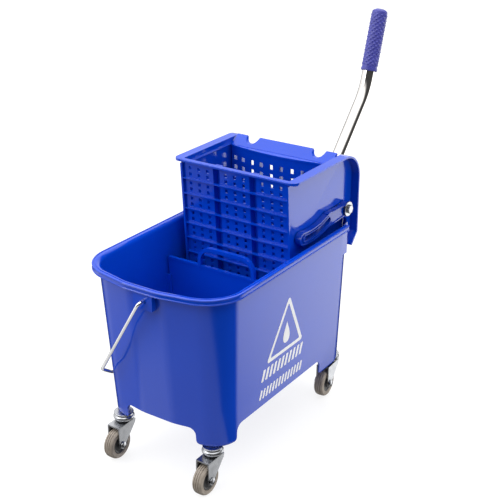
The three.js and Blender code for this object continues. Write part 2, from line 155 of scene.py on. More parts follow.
def prism(axis, outline, start, end):
    n = len(outline)
    verts = [axis_point(axis, a, b, s) for s in (start, end) for a, b in outline]
    faces = [(i, (i + 1) % n, (i + 1) % n + n, i + n) for i in range(n)]
    return new_object("prism", verts, faces + [tuple(range(n)), tuple(range(n, 2 * n))])


def box(x0, x1, y0, y1, z0, z1):
    return prism("z", [(x0, y0), (x1, y0), (x1, y1), (x0, y1)], z0, z1)


def circle(a, b, radius, sides):
    turn = 2 * math.pi / sides
    return [(a + radius * math.cos(turn * i), b + radius * math.sin(turn * i)) for i in range(sides)]


def rod(axis, radius, start, end, centre, sides=40):
    return prism(axis, circle(*centre, radius, sides), start, end)


def lathe(axis, profile, centre, sides=64):
    """Turns a closed profile of (radius, place along the axis) about the axis."""
    n = len(profile)
    verts = []
    for i in range(sides):
        turn = 2 * math.pi * i / sides
        for radius, along in profile:
            a = centre[0] + radius * math.cos(turn)
            b = centre[1] + radius * math.sin(turn)
            verts.append(axis_point(axis, a, b, along))
    faces = []
    for i in range(sides):
        here, there = i * n, (i + 1) % sides * n
        faces += [(here + k, here + (k + 1) % n, there + (k + 1) % n, there + k) for k in range(n)]
    return new_object("lathe", verts, faces)


def rounded(points, radii, steps=12):
    """An outline with its corners rounded by arcs."""
    outline = []
    for i, point in enumerate(points):
        here = Vector(point)
        before = (Vector(points[i - 1]) - here).normalized()
        after = (Vector(points[(i + 1) % len(points)]) - here).normalized()
        half = math.acos(max(-1, min(1, before.dot(after)))) / 2
        centre = here + (before + after).normalized() * radii[i] / math.sin(half)
        start = here + before * radii[i] / math.tan(half) - centre
        end = here + after * radii[i] / math.tan(half) - centre
        sweep = math.atan2(start.x * end.y - start.y * end.x, start.dot(end))
        for k in range(steps + 1):
            a = sweep * k / steps
            x = start.x * math.cos(a) - start.y * math.sin(a)
            y = start.x * math.sin(a) + start.y * math.cos(a)
            outline.append((centre.x + x, centre.y + y))
    return outline


def slab(a0, a1, b0, b1, radius, steps=8):
    return rounded([(a0, b0), (a1, b0), (a1, b1), (a0, b1)], [radius] * 4, steps)


def loft(sections):
    """A solid through stacked outlines, each (z, outline) with the same number of points."""
    n = len(sections[0][1])
    verts = [(x, y, z) for z, outline in sections for x, y in outline]
    faces = []
    for s in range(len(sections) - 1):
        a, b = s * n, (s + 1) * n
        faces += [(a + i, a + (i + 1) % n, b + (i + 1) % n, b + i) for i in range(n)]
    last = (len(sections) - 1) * n
    faces += [tuple(range(n)), tuple(range(last, last + n))]
    return new_object("loft", verts, faces)


def bend_route(corners, bend, steps=10):
    """Points along straight runs joined by smooth bends."""
    corners = [Vector(c) for c in corners]
    points = [corners[0]]
    for i in range(1, len(corners) - 1):
        here = corners[i]
        start = here + (corners[i - 1] - here).normalized() * bend
        end = here + (corners[i + 1] - here).normalized() * bend
        for k in range(steps + 1):
            t = k / steps
            points.append(start * (1 - t) ** 2 + here * 2 * t * (1 - t) + end * t ** 2)
    return points + [corners[-1]]


def sweep(points, radius_at, sides=32):
    """A round solid along points; radius_at(distance, turn) gives its radius."""
    tangents = []
    for i in range(len(points)):
        tangents.append((points[min(i + 1, len(points) - 1)] - points[max(i - 1, 0)]).normalized())
    side = tangents[0].orthogonal().normalized()
    verts, distance = [], 0.0
    for i, point in enumerate(points):
        if i:
            distance += (point - points[i - 1]).length
            side = (side - tangents[i] * side.dot(tangents[i])).normalized()
        other = tangents[i].cross(side)
        for k in range(sides):
            turn = 2 * math.pi * k / sides
            radius = radius_at(distance, turn)
            verts.append(point + side * radius * math.cos(turn) + other * radius * math.sin(turn))
    faces = []
    for i in range(len(points) - 1):
        a, b = i * sides, (i + 1) * sides
        faces += [(a + k, a + (k + 1) % sides, b + (k + 1) % sides, b + k) for k in range(sides)]
    last = (len(points) - 1) * sides
    faces += [tuple(range(sides)), tuple(range(last, last + sides))]
    return new_object("sweep", verts, faces)


def perforated(columns, rows, front, back):
    """A sheet on a grid. columns and rows are (place, is_gap after it); front and back place a point."""
    nx, nz = len(columns), len(rows)
    verts = [front(x, z) for z, _ in rows for x, _ in columns]
    verts += [back(x, z) for z, _ in rows for x, _ in columns]
    behind = nx * nz
    hole = {(i, j) for i in range(nx - 1) for j in range(nz - 1) if columns[i][1] and rows[j][1]}
    faces = []
    for j in range(nz - 1):
        for i in range(nx - 1):
            if (i, j) in hole:
                continue
            a, b, c, d = j * nx + i, j * nx + i + 1, (j + 1) * nx + i + 1, (j + 1) * nx + i
            faces += [(a, b, c, d), (a + behind, d + behind, c + behind, b + behind)]
            neighbours = ((i, j - 1, a, b), (i + 1, j, b, c), (i, j + 1, c, d), (i - 1, j, d, a))
            for u, v, p, q in neighbours:
                outside = not (0 <= u < nx - 1 and 0 <= v < nz - 1)
                if outside or (u, v) in hole:
                    faces.append((p, q, q + behind, p + behind))
    return new_object("sheet", verts, faces)


def finish_piece(obj, name, body, material, slot=None, replaces=(), bevel=0.6, segments=2, angle=32):
    obj.name = name
    obj.data.transform(TO_ROW)
    obj.data.materials.clear()
    obj.data.materials.append(material)
    obj.data.shade_smooth()
    obj.data.set_sharp_from_angle(angle=math.radians(angle))
    if bevel:
        modifier = obj.modifiers.new("edge", "BEVEL")
        modifier.width = bevel * MM
        modifier.segments = segments
        modifier.limit_method = "ANGLE"
        modifier.angle_limit = math.radians(angle)
        modifier.harden_normals = True
        modifier.miter_outer = "MITER_ARC"
    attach(obj, body)
    if replaces:
        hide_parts(*replaces)
    return obj


# ---------------------------------------------------------------- materials
def shader(name, **sockets):
    material = bpy.data.materials.new(name)
    material.use_nodes = True
    surface = material.node_tree.nodes["Principled BSDF"]
    for key, value in sockets.items():
        surface.inputs[key.replace("_", " ")].default_value = value
    return material, material.node_tree, surface


def noise(tree, scale, detail=4.0, stretch=(1, 1, 1)):
    place = tree.nodes.new("ShaderNodeTexCoord")
    mapping = tree.nodes.new("ShaderNodeMapping")
    mapping.inputs["Scale"].default_value = stretch
    texture = tree.nodes.new("ShaderNodeTexNoise")
    texture.inputs["Scale"].default_value = scale
    texture.inputs["Detail"].default_value = detail
    tree.links.new(place.outputs["Object"], mapping.inputs["Vector"])
    tree.links.new(mapping.outputs["Vector"], texture.inputs["Vector"])
    return texture.outputs["Fac"]


def ramp(tree, factor, low, high, start=0.35, end=0.65):
    """Maps a 0-1 pattern to a pair of colours or of numbers."""
    node = tree.nodes.new("ShaderNodeValToRGB")
    for element, value, place in zip(node.color_ramp.elements, (low, high), (start, end)):
        element.position = place
        element.color = (*value, 1) if isinstance(value, tuple) else (value, value, value, 1)
    tree.links.new(factor, node.inputs["Fac"])
    return node.outputs["Color"]


def bump(tree, surface, height, strength, distance):
    node = tree.nodes.new("ShaderNodeBump")
    node.inputs["Strength"].default_value = strength
    node.inputs["Distance"].default_value = distance
    tree.links.new(height, node.inputs["Height"])
    tree.links.new(node.outputs["Normal"], surface.inputs["Normal"])


def moulded_plastic(name, dark, light, rough_low, rough_high, grain=0.04):
    """Injection-moulded plastic: slow tint changes, a patchy gloss and a very fine grain."""
    material, tree, surface = shader(name, IOR=1.5)
    colour = ramp(tree, noise(tree, 7), dark, light)
    tree.links.new(colour, surface.inputs["Base Color"])
    gloss = ramp(tree, noise(tree, 14, 3), rough_low, rough_high)
    tree.links.new(gloss, surface.inputs["Roughness"])
    bump(tree, surface, noise(tree, 1400, 2), grain, 0.0001)
    return material


def plated_metal(name, tint, rough_low, rough_high, stretch=(1, 1, 1), scale=60):
    """Bright metal with faint polishing lines and hazy patches."""
    material, tree, surface = shader(name, Metallic=1.0)
    darker = tuple(c * 0.86 for c in tint)
    tree.links.new(ramp(tree, noise(tree, scale / 3), darker, tint), surface.inputs["Base Color"])
    gloss = ramp(tree, noise(tree, scale, 8, stretch), rough_low, rough_high)
    tree.links.new(gloss, surface.inputs["Roughness"])
    bump(tree, surface, noise(tree, scale * 8, 3, stretch), 0.08, 0.0001)
    return material


def rubber(name, dark, light, rough):
    material, tree, surface = shader(name, IOR=1.52)
    tree.links.new(ramp(tree, noise(tree, 70, 8), dark, light), surface.inputs["Base Color"])
    tree.links.new(ramp(tree, noise(tree, 160, 6), rough - 0.1, rough + 0.1), surface.inputs["Roughness"])
    bump(tree, surface, noise(tree, 1800, 6), 0.25, 0.0002)
    return material


BLUE = moulded_plastic("royal_blue_plastic", (0.001, 0.052, 0.530), (0.0015, 0.058, 0.570), 0.10, 0.14)
NAVY = moulded_plastic("navy_plastic", (0.001, 0.034, 0.370), (0.0015, 0.040, 0.410), 0.18, 0.26)
CHROME = plated_metal("bright_tube_metal", (0.84, 0.81, 0.78), 0.05, 0.12, (1, 1, 1), 90)
WIRE = plated_metal("bright_wire_metal", (0.88, 0.88, 0.89), 0.10, 0.22)
ZINC = plated_metal("zinc_plate", (0.46, 0.47, 0.49), 0.22, 0.36, (1, 1, 1), 120)
GRIP = rubber("violet_grip_rubber", (0.055, 0.058, 0.330), (0.070, 0.074, 0.400), 0.42)
TYRE = rubber("grey_tyre_rubber", (0.270, 0.230, 0.190), (0.370, 0.320, 0.270), 0.62)
HUB = moulded_plastic("dark_hub_plastic", (0.030, 0.030, 0.032), (0.050, 0.050, 0.053), 0.35, 0.5, 0.2)
PRINT = moulded_plastic("white_print", (0.90, 0.91, 0.93), (0.95, 0.96, 0.98), 0.35, 0.5)

# ---------------------------------------------------------------- bucket
RIM_TOP, RIM_BOTTOM, RIM_HALF = BUCKET_HIGH.z, BUCKET_HIGH.z - 9.5, BUCKET_HIGH.x
POD_BOTTOM = BUCKET_LOW.z
BUCKET_BACK, RIM_END = 399.0, 354.0
FLOOR_TOP, FLOOR_UNDER, WALL = 108.0, 104.0, 3.0
# The outside at the foot and at the rim: half width, front, how far the front bows out, front corner radius.
HALF_WIDTH, FRONT, FRONT_BOW, CORNER = (113, 124), (9, -15), (14, 20), (42, 56)
RIM_CORNER = 66
PIVOT = (6.0, 317.0)
CASTER_X, CASTER_YS = 88.0, (28.0, 383.0)


def mix(a, b, t):
    return a + (b - a) * t


def plan(half, front, back, bow, corner, grow):
    """The bucket seen from above, grown outwards: a bowed front, and rounded corners."""
    w, y0, y1 = half + grow, front - grow, back + grow
    points = [(-30, y0), (30, y0), (w, y0 + bow), (w, y1), (-w, y1), (-w, y0 + bow)]
    return rounded(points, [100, 100, corner + grow, 50 + grow, 50 + grow, corner + grow], 14)


def wall_section(z, grow=0.0):
    t = (z - POD_BOTTOM) / (RIM_TOP - POD_BOTTOM)
    half, front, bow, corner = (mix(*pair, t) for pair in (HALF_WIDTH, FRONT, FRONT_BOW, CORNER))
    return z, plan(half, front, BUCKET_BACK, bow, corner, grow)


def rim_section(z, inset):
    return z, plan(RIM_HALF, RIM_FRONT, BUCKET_BACK + 2, FRONT_BOW[1], RIM_CORNER, -inset)


def rim_solid():
    """A band with a bead along its foot and a rounded top edge."""
    profile = [(0, 1.4), (0.4, 0.4), (1.1, 0), (1.9, 0.2), (2.6, 0.9), (6.4, 0.9), (7.2, 0.3), (8.2, 0.2)]
    profile += [(9.1, 0.8), (9.5, 1.9)]
    sections = [rim_section(RIM_BOTTOM + up, inset) for up, inset in profile]
    return keep(loft(sections), box(-200, 200, -100, RIM_END, 300, 350))


def rim_groove():
    ring = loft([rim_section(RIM_TOP - 0.7, 3.0), rim_section(RIM_TOP + 1, 2.6)])
    return cut(ring, loft([rim_section(RIM_TOP - 2, 5.2), rim_section(RIM_TOP + 2, 5.2)]))


def bucket_hollow():
    """The inside, with an edge that flares out into the rim."""
    levels = [(FLOOR_TOP, -WALL), (200, -WALL), (RIM_TOP - 7, -WALL), (RIM_TOP - 4, -2.2)]
    levels += [(RIM_TOP - 2, -0.4), (RIM_TOP - 0.8, 1.4), (RIM_TOP, 3.0), (RIM_TOP + 2, 6.0)]
    return loft([wall_section(z, grow) for z, grow in levels])


def foot_hollows():
    """What hollows the feet from below: it leaves the wall, and a ribbed boss round each caster's stem."""
    hollow = loft([wall_section(POD_BOTTOM - 20, -WALL), wall_section(102, -WALL)])
    bosses, ribs, sockets = [], [], []
    for y in CASTER_YS:
        bosses += both(rod("z", 10.5, POD_BOTTOM, 103, (CASTER_X, y), 40))
        ribs += both(box(CASTER_X, CASTER_X + 22, y - 1.2, y + 1.2, POD_BOTTOM + 4, 103))
        sockets += both(rod("z", 5.4, POD_BOTTOM - 20, 101, (CASTER_X, y), 32))
    solid = keep(join(gather(bosses), gather(ribs)), loft([wall_section(POD_BOTTOM), wall_section(110)]))
    return join(cut(hollow, solid), gather(sockets))


def foot_tunnels():
    """What parts the four feet, with rounded corners at the foot and at the top."""
    def arch(a0, a1):
        low = POD_BOTTOM - 0.1
        corners = [(a0 - 25, 15), (a1 + 25, 15), (a1 + 25, low), (a1, low),
                   (a1, FLOOR_UNDER), (a0, FLOOR_UNDER), (a0, low), (a0 - 25, low)]
        return rounded(corners, [0.1, 0.1, 0.1, 8, 12, 12, 8, 0.1], 8)

    return [prism("x", arch(57, 303), -200, 200), prism("y", arch(-67, 67), -100, 500)]


def bucket_inside_pieces():
    guide = [(99, 106), (125, 106), (125, 250), (109, 250)]
    solids = []
    for y0 in (184.8, 192.6):
        solids += both(prism("y", guide, y0, y0 + 2.6))
    solids += both(box(97, 125, 240, 330, 185, 192))
    return keep(gather(solids), loft([wall_section(100, -1), wall_section(340, -1)]))


def bail_bracket(y0, y1):
    return prism("y", slab(-14, 21, 302, RIM_BOTTOM + 1, 1.5), y0, y1)


def build_bucket():
    levels = [(POD_BOTTOM, -1.8), (POD_BOTTOM + 1, -0.8), (POD_BOTTOM + 3, -0.2), (POD_BOTTOM + 5, 0)]
    levels += [(z, 0) for z in (140, 200, 260, RIM_TOP - 0.5)]
    shell = loft([wall_section(z, grow) for z, grow in levels])
    ears = gather(both(prism("z", slab(100, 121.3, 335, 372, 2.5), 280, RIM_TOP - 2)))
    shell = join(shell, rim_solid(), ears, bail_bracket(-22.5, 0), bail_bracket(395, 417))
    shell = cut(shell, bucket_hollow(), rim_groove(), *foot_tunnels(), foot_hollows())
    shell = join(shell, bucket_inside_pieces())
    slots = gather(both(box(99.7, 104.8, 370, 420, 270, 350)))
    holes = gather([rod("y", 2.9, -60, -14, PIVOT, 32), rod("y", 2.9, 403, 440, PIVOT, 32)])
    shell = cut(shell, slots, holes)
    return finish_piece(shell, "bucket_body", "bucket", BLUE, "bucket_blue", ["bucket_shell"], 0.6, 3)


build_bucket()


PRINT_BACK, PRINT_FACE = 0.05, 0.25


def on_side_wall(points):
    """A flat drawing of (y, z) points laid on the leaning side wall, at the print's back and at its face."""
    lean = (HALF_WIDTH[1] - HALF_WIDTH[0]) / (RIM_TOP - POD_BOTTOM)
    return [(HALF_WIDTH[0] + lean * (z - POD_BOTTOM) + out, y, z)
            for out in (PRINT_BACK, PRINT_FACE) for y, z in points]


def printed_shape(outline):
    n = len(outline)
    faces = [(i, (i + 1) % n, (i + 1) % n + n, i + n) for i in range(n)]
    return new_object("print", on_side_wall(outline), faces + [tuple(range(n)), tuple(range(n, 2 * n))])


def printed_frame(outer, inner):
    n = len(outer)
    top = 2 * n
    faces = []
    for i in range(n):
        j = (i + 1) % n
        a, b, c, d = i, j, n + j, n + i
        faces += [(a, b, c, d), (a + top, d + top, c + top, b + top)]
        faces += [(a, a + top, b + top, b), (d, c, c + top, d + top)]
    return new_object("frame", on_side_wall(outer + inner), faces)


def printed_drop():
    outline = []
    for k in range(32):
        turn = 2 * math.pi * k / 32
        width = math.sin(turn) * math.sin(turn / 2) ** 1.6
        outline.append((187.5 + 13.5 * width, 209 + 19 * math.cos(turn)))
    return printed_shape(outline)


def printed_strokes():
    """Two bands of slanted strokes, given as first and last place, foot, head and pitch."""
    strokes = []
    for first, last, low, high, pitch in ((119, 246, 148, 168, 11.0), (115, 245, 117, 133, 9.0)):
        slant, width = 0.3 * (high - low), 0.55 * pitch
        for k in range(int((last - first) / pitch)):
            y = first + pitch * k
            corners = [(y, low), (y + width, low), (y + width + slant, high), (y + slant, high)]
            strokes.append(printed_shape(rounded(corners, [1.2] * 4, 4)))
    return strokes


def build_print():
    """A triangle with a drop in it, over the strokes: thin raised white on both sides."""
    outer = rounded([(132, 175), (238, 175), (191, 272)], [4] * 3, 6)
    inner = rounded([(142.5, 181), (228, 181), (190, 259.5)], [2] * 3, 6)
    whole = gather([printed_frame(outer, inner), printed_drop(), *printed_strokes()])
    for side, solid in zip(("right", "left"), both(whole)):
        finish_piece(solid, f"{side}_side_print", "bucket", PRINT, bevel=0)


build_print()


# ---------------------------------------------------------------- divider and bail
def build_divider():
    low, high = cad("divider")
    y = (low.y + high.y) / 2
    half = high.x
    outline = rounded([(-103, low.z), (103, low.z), (half, 281), (-half, 281)], [3, 3, 4, 4])
    plate = prism("y", outline, y - 2, y + 2)
    bead = prism("y", slab(-half, half, 277.5, 282, 1.5), y - 3, y + 3)
    left, right, thick = -53, 57, 6
    arch = rounded([(right, 279), (right, high.z), (left, high.z), (left, 279)], [0.1, 25, 25, 0.1], 16)
    arch += rounded([(left + thick, 279), (left + thick, high.z - thick), (right - thick, high.z - thick),
                     (right - thick, 279)], [0.1, 19, 19, 0.1], 16)
    whole = join(plate, bead, prism("y", arch, y - 3.5, y + 3.5))
    finish_piece(whole, "divider_plate", "divider", BLUE, "bucket_blue", ["divider"], 0.9, 3)


def build_bail():
    """The wire bail at rest beside the left wall: reach is how far a corner lies from the pivot."""
    lean = math.radians(33.8)
    x, z = PIVOT
    leg, bar = 180.5, 226.3

    def reach(s, y):
        return (x - s * math.sin(lean), y, z - s * math.cos(lean))

    corners = [
        (x, -15, z), (x, -35, z), reach(leg, -10), reach(bar, 42), reach(bar, 376),
        reach(leg, 425), (x, 425, z), (x, 404, z),
    ]
    wire = sweep(bend_route(corners, 8, 12), lambda distance, turn: 2.5, 24)
    finish_piece(wire, "bail_wire", "bail", WIRE, "bright_wire", ["bail_handle"], 0.4)


build_divider()
build_bail()


# ---------------------------------------------------------------- casters
TRAIL, WHEEL_R = 20.0, 25.0
REAR_TURN = 4


def caster_parts():
    """One caster about its own swivel axis: lists of (part, solid, material, slot, bevel)."""
    wheel = (-TRAIL, WHEEL_R)
    tread = [(16.2, -8.2), (20.5, -8.2), (21.3, -8.5), (22.6, -8.3), (23.6, -7.4), (24.3, -6.1)]
    half = tread + [(24.8, -5.0), (24.8, -4.4), (23.7, -4.3), (23.7, -3.2), (24.95, -3.1)]
    half += [(25.0, -0.7), (23.8, -0.6), (23.8, 0)]
    profile = half + [(r, -x) for r, x in reversed(half[:-1])]
    tyre = lathe("x", profile, wheel, 72)

    side = [(4.3, -9.7), (7.6, -9.7), (8.2, -9.2), (8.5, -7.4), (9.4, -6.6), (12.6, -6.2), (13.4, -6.8)]
    half = side + [(13.9, -7.7), (15.4, -7.8), (15.7, -7.4), (15.7, -5)]
    hub = lathe("x", half + [(r, -x) for r, x in reversed(half)], wheel, 56)

    outline = rounded([(14, 59), (-27, 59), (-28, 25), (-20, 14.6), (-12, 25), (12, 52)],
                      [1, 2, 6, 7, 9, 4], 8)
    cheeks = both(prism("x", outline, 9.9, 12))
    plate = prism("z", rounded([(-12, -27), (12, -27), (12, 14), (-12, 14)], [0.5, 0.5, 5, 5], 8), 56.5, 59)
    race = lathe("z", [(5.4, 58), (9.5, 58), (9.5, 59.8), (8.6, 60.7), (5.4, 60.7)], (0, 0), 48)
    fork = join(plate, *cheeks, race)
    fork = cut(fork, rod("z", 5.4, 50, 70, (0, 0), 40), rod("x", 4.3, -20, 20, wheel, 32))

    cup = lathe("z", [(5.4, 61.2), (12.5, 61.2), (14, 61.8), (16.2, 64), (17, 66), (17, 67.6), (16.2, 69.2),
                      (14.8, 70.4), (14.4, 72.2), (15.6, 73.2), (15.9, 74.2), (15.2, 74.7), (5.4, 74.7)],
                (0, 0), 64)
    stem = lathe("z", [(0, 52), (7.6, 52), (8.5, 53.2), (8.5, 56.2), (5, 56.2), (5, 98.5), (4, 100),
                       (0, 100)], (0, 0), 40)
    head = lathe("x", [(0, 12), (5.9, 12.4), (6.2, 13), (6.0, 14.2), (4.6, 15.0), (0, 15.2)], wheel, 32)
    axle = join(rod("x", 4, -15, 14, wheel, 32), head, rod("x", 6.4, -16, -12.3, wheel, 6))
    return [
        ("tyre", "wheel", tyre, TYRE, "tyre_rubber", 0.25),
        ("hub", "wheel", hub, HUB, "hub_plastic", 0.3),
        ("fork", "swivel", fork, ZINC, "zinc_steel", 0.5),
        ("axle", "swivel", axle, ZINC, "zinc_steel", 0.5),
        ("swivel_cup", None, cup, ZINC, "zinc_steel", 0.3),
        ("stem", None, stem, ZINC, "zinc_steel", 0.3),
    ]


def build_casters():
    parts = caster_parts()
    for end, y, turn in zip(("front", "rear"), CASTER_YS, (0, REAR_TURN)):
        for side, x in (("left", -CASTER_X), ("right", CASTER_X)):
            place = Matrix.Translation((x, y, 0)) @ Matrix.Rotation(math.radians(turn), 4, "Z")
            for part, moves, solid, material, slot, bevel in parts:
                body = f"{end}_{side}_{moves}" if moves else "bucket"
                finish_piece(copy_of(solid, place), f"{end}_{side}_caster_{part}", body, material, slot,
                             [f"{end}_{side}_{part}"], bevel)
    for part in parts:
        bpy.data.objects.remove(part[2])


build_casters()

# ---------------------------------------------------------------- wringer frame
TOP, PANEL_IN, PANEL_OUT, FLANGE = 447.0, 100.2, 103.0, 117.0
FRONT_Y, REAR_Y, BASKET_Z = 211.0, 414.0, 195.0
HINGE = (358.0, 200.0)
SHAFT = (380.0, 354.0)
PIN = (246.0, 346.0)
STROKE = math.radians(27.5)
LOW_EDGE = BASKET_Z - 2.6
RIM_LOW = 442.5
SWING_RADIUS = math.hypot(SHAFT[0] - HINGE[0], SHAFT[1] - HINGE[1])
SWING_START = math.atan2(SHAFT[1] - HINGE[1], SHAFT[0] - HINGE[0])


def arc_outline(half, shift, extra=0.0, turned=1, steps=24):
    """A round-ended band along the shaft's swing, moved to shift, run on a little and turned half round."""
    begin, end = SWING_START - extra, SWING_START + STROKE + extra

    def point(radius, a, spread=0.0, spoke=0.0):
        y = radius * math.cos(a) + spread * math.cos(a + spoke)
        z = radius * math.sin(a) + spread * math.sin(a + spoke)
        return (shift[0] + turned * y, shift[1] + turned * z)

    outline = [point(SWING_RADIUS + half, mix(begin, end, k / steps)) for k in range(steps)]
    outline += [point(SWING_RADIUS, end, half, math.pi * k / 16) for k in range(16)]
    outline += [point(SWING_RADIUS - half, mix(end, begin, k / steps)) for k in range(steps)]
    return outline + [point(SWING_RADIUS, begin, half, math.pi * (1 + k / 16)) for k in range(16)]


def face_y(z):
    """The sloping front: further back towards the foot."""
    return mix(231.5, 216.0, (z - BASKET_Z) / (436.0 - BASKET_Z))


def band(x0, x1, z0, z1, ahead, depth):
    near0, near1 = face_y(z0) - ahead, face_y(z1) - ahead
    return prism("x", [(near0, z0), (near0 + depth, z0), (near1 + depth, z1), (near1, z1)], x0, x1)


def grille_sheet():
    """Perforated front with two deep upright channels; the holes stand in pairs of rows between the fins."""
    columns = [(-101, False)]
    for bay in (-69.5, 0, 69.5):
        for k in (-1, 0, 1):
            x = bay + 17 * k
            columns += [(x - 2.6, True), (x + 2.6, False)]
        if bay < 60:
            gate = bay + 34.75
            columns += [(gate - 6.4, False), (gate - 4.6, False), (gate + 4.6, False), (gate + 6.4, False)]
    columns.append((101, False))
    rows = [(LOW_EDGE, False)]
    z = 415.0 - 26.4 * 8
    while z < 430:
        for low in (z + 4.5, z + 15):
            rows += [(low, True), (low + 6, False)]
        z += 26.4
    rows = [row for row in rows if row[0] < 436]
    rows.append((445, False))
    gates = {}
    for gate in (-34.75, 34.75):
        for offset, depth, shift in ((-6.4, 0, -1.4), (-4.6, 9, -1.4), (4.6, 9, 1.4), (6.4, 0, 1.4)):
            gates[gate + offset] = (depth, shift)

    def front(x, z):
        return (x, face_y(z) + gates.get(x, (0, 0))[0], z)

    def back(x, z):
        recess, shift = gates.get(x, (0, 0))
        return (x + shift, face_y(z) + recess + 2.4, z)

    return perforated(columns, rows, front, back)


def side_panel():
    outline = rounded([
        (face_y(LOW_EDGE), LOW_EDGE), (372, LOW_EDGE), (372, 276), (385, 276), (REAR_Y - 2, 300),
        (REAR_Y - 2, 445), (face_y(445), 445),
    ], [1, 12, 1, 6, 8, 45, 1], 14)
    panel = prism("x", outline, PANEL_IN, PANEL_OUT)
    rim = rounded([
        (FRONT_Y, RIM_LOW), (FRONT_Y, TOP), (REAR_Y, TOP), (REAR_Y, 303), (394.5, 282), (394, 286),
        (REAR_Y - 3, 304.5), (REAR_Y - 3, TOP - 3), (FRONT_Y + 6, TOP - 3), (FRONT_Y + 6, RIM_LOW),
    ], [0.5, 1, 46, 6, 1, 1, 4, 43, 0.5, 0.5], 16)
    flange = prism("x", rim, PANEL_IN, FLANGE)
    panel = join(panel, flange)
    slot = prism("x", arc_outline(8.2, HINGE), 90, 110)
    return cut(panel, slot, rod("x", 4.3, 90, 110, HINGE), rod("x", 4.3, 90, 110, PIN))


def front_rim():
    """The rolled lip along the top of the front, with a sloping inner face."""
    section = rounded([
        (FRONT_Y, RIM_LOW), (FRONT_Y, TOP), (FRONT_Y + 8, TOP), (FRONT_Y + 10, RIM_LOW),
    ], [0.8, 1.6, 1.2, 0.5], 5)
    return prism("x", section, -FLANGE + 1, FLANGE - 1)


def rim_corner_cut():
    """What rounds off the rim's two front corners, seen from above."""
    square = box(90, 130, 200, 225, 430, 460)
    corners = [(60, FRONT_Y), (FLANGE, FRONT_Y), (FLANGE, 260), (60, 260)]
    soft = prism("z", rounded(corners, [1, 11, 1, 1], 14), 425, 465)
    return both(cut(square, soft))


def inner_chamfer():
    outline = [(PANEL_IN - 1.6, 436), (PANEL_IN + 1, 434), (PANEL_IN + 5, TOP - 1), (PANEL_IN + 3.4, TOP)]
    return prism("y", outline, FRONT_Y + 4, 368)


def basket_floor():
    columns, rows = [(-101, False)], [(face_y(BASKET_Z), False)]
    for k in range(-4, 5):
        columns += [(21 * k - 3, True), (21 * k + 3, False)]
    for y in (245, 283, 321):
        rows += [(y, True), (y + 18, False)]
    columns.append((101, False))
    rows.append((346, False))
    return perforated(columns, rows, lambda x, y: (x, y, LOW_EDGE), lambda x, y: (x, y, BASKET_Z))


def build_wringer():
    sides = both(side_panel())
    whole = join(sides[0], grille_sheet(), basket_floor(), sides[1])
    fins = []
    for k in range(9):
        z = 415.0 - 26.4 * k
        fins.append(band(-102.5, 102.5, z - 0.8, z + 0.8, 4.6, 6.0))
    whole = join(whole, gather(fins), *both(band(99.5, PANEL_OUT, LOW_EDGE, 440, 4.6, 7)))
    whole = join(whole, front_rim(), *both(inner_chamfer()))
    whole = cut(whole, *rim_corner_cut())
    finish_piece(whole, "wringer_body", "wringer", BLUE, "wringer_blue", ["wringer_frame"], 0.7, 2)


def build_wringer_pins():
    rod_solid = join(rod("x", 4, -107, 107, HINGE), *both(rod("x", 7, 103.4, 107, HINGE, 40)))
    finish_piece(rod_solid, "basket_hinge_rod", "wringer", ZINC, "zinc_steel", ["hinge_rod"], 0.6)
    head = lathe("x", [(0, 97), (6.2, 97), (6.5, 99.8), (4, 99.8), (4, 112.4), (3.4, 113), (0, 113)], PIN, 40)
    for side, solid in zip(("right", "left"), both(head)):
        finish_piece(solid, f"{side}_slide_pin", "wringer", NAVY, "zinc_steel", [f"{side}_guide_pin"], 0.3)


build_wringer()
build_wringer_pins()

# ---------------------------------------------------------------- press plate
PLATE_HALF, LEDGE_Z, PLATE_Y, BOW = 97.5, 436.0, 349.0, 12.0


def plate_front(x, z):
    lean = 6 / (LEDGE_Z - 209) * (LEDGE_Z - z)
    return (x, PLATE_Y - BOW * (1 - (x / PLATE_HALF) ** 2) + lean, z)


def press_sheet():
    columns = [(-PLATE_HALF, False)]
    for x in (-88, *range(-70, 80, 20), 88):
        columns += [(x - 3.4, True), (x, True), (x + 3.4, False)]
    columns.append((PLATE_HALF, False))
    rows = [(209, False)]
    z = 414.0 - 16.5 * 12
    while z < 420:
        rows += [(z - 4.4, True), (z + 4.4, False)]
        z += 16.5
    rows.append((LEDGE_Z, False))
    return perforated(columns, rows, plate_front, lambda x, z: Vector(plate_front(x, z)) + Vector((0, 3, 0)))


